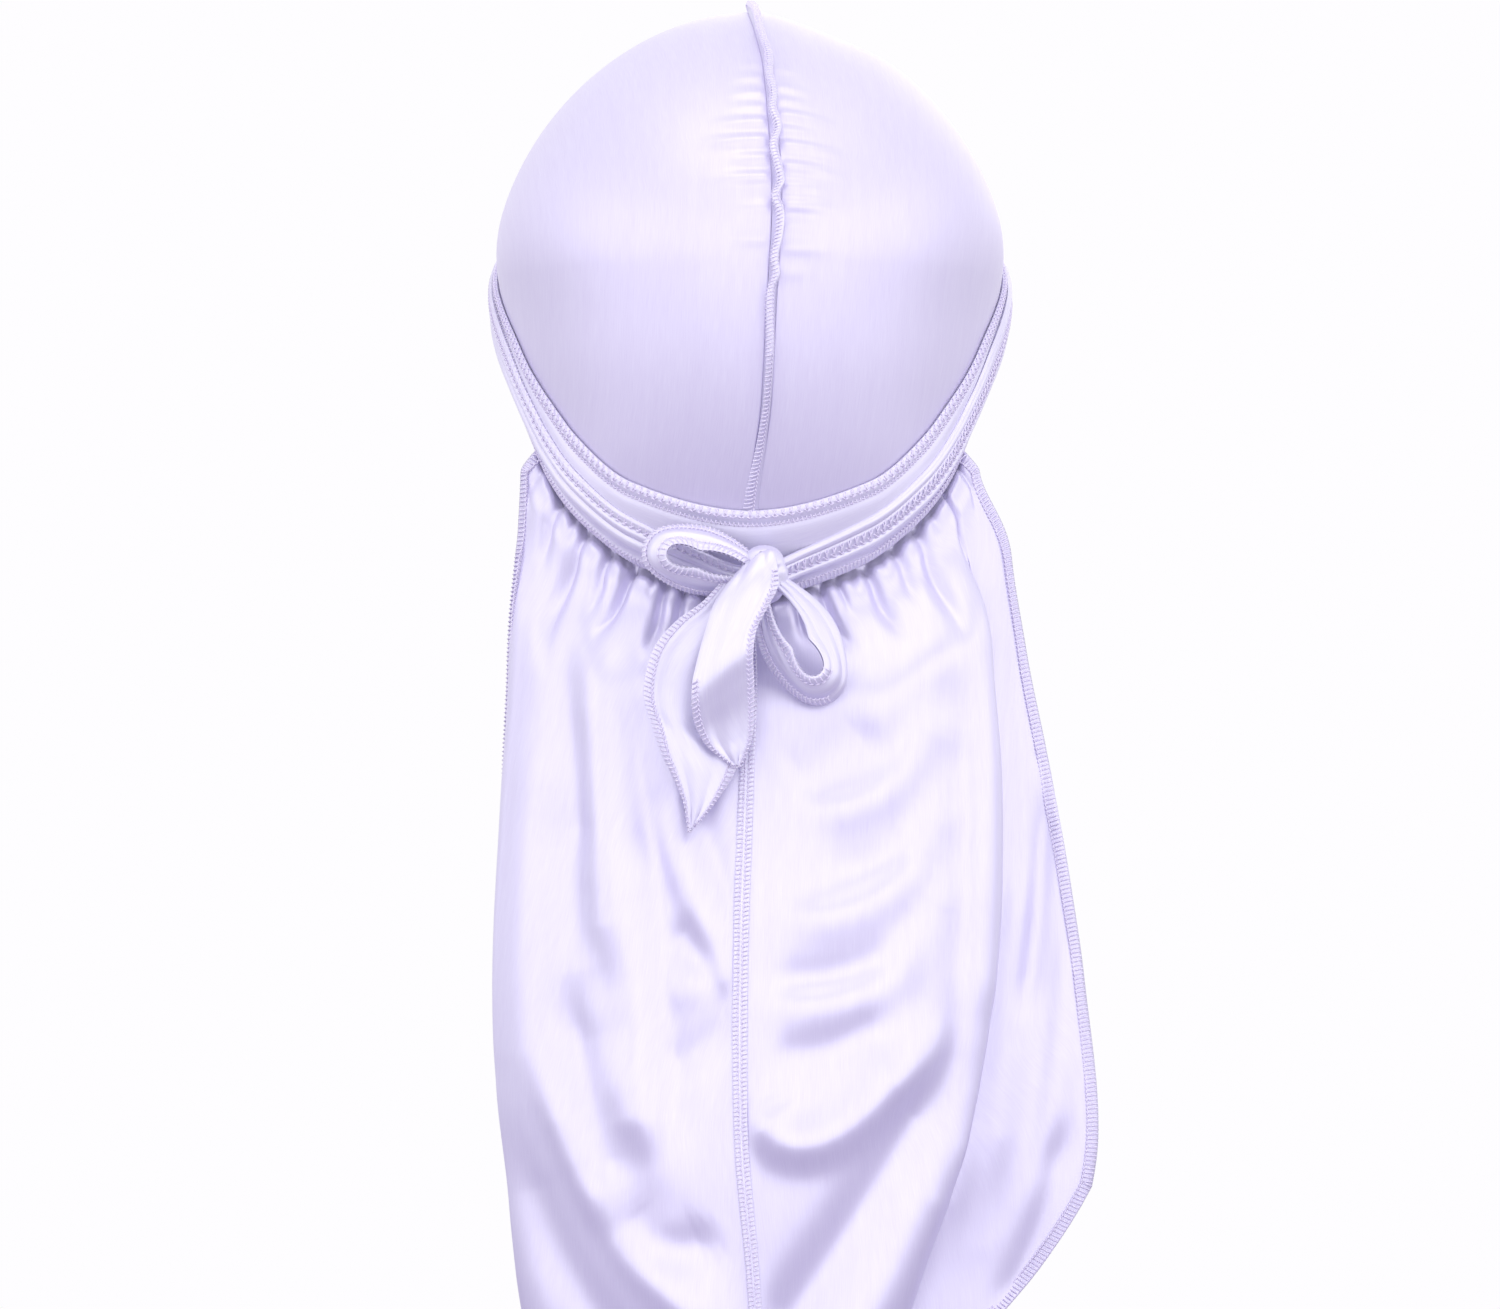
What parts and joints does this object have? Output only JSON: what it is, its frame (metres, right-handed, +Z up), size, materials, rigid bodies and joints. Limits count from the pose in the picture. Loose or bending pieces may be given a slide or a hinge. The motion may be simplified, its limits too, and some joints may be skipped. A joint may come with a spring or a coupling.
{
  "type": "durag",
  "caption": "Satin durag as worn: stretched crown with a standing seam, wrapped straps tied in a bow, long gathered tail.",
  "frame": {"origin": "middle of the head that wears it, at the crown's widest level", "axes": "+X towards the wearer's right, +Y the way the wearer faces, +Z up"},
  "size_m": [0.1911, 0.2159, 0.4394],
  "materials": {
    "satin": "lavender polyester satin with a soft sheen",
    "overlock": "lavender overlock thread"
  },
  "bodies": {
    "root": {"crown_left": "satin", "crown_right": "satin", "crown_seam": "overlock", "nape_band": "satin", "strap_left": "satin", "strap_right": "satin", "knot": "satin", "bow_loop_left": "satin", "bow_loop_right": "satin", "strap_end_left": "satin", "strap_end_right": "satin", "tail_left": "satin", "tail_right": "satin", "tail_seam": "overlock"}
  },
  "joints": []
}
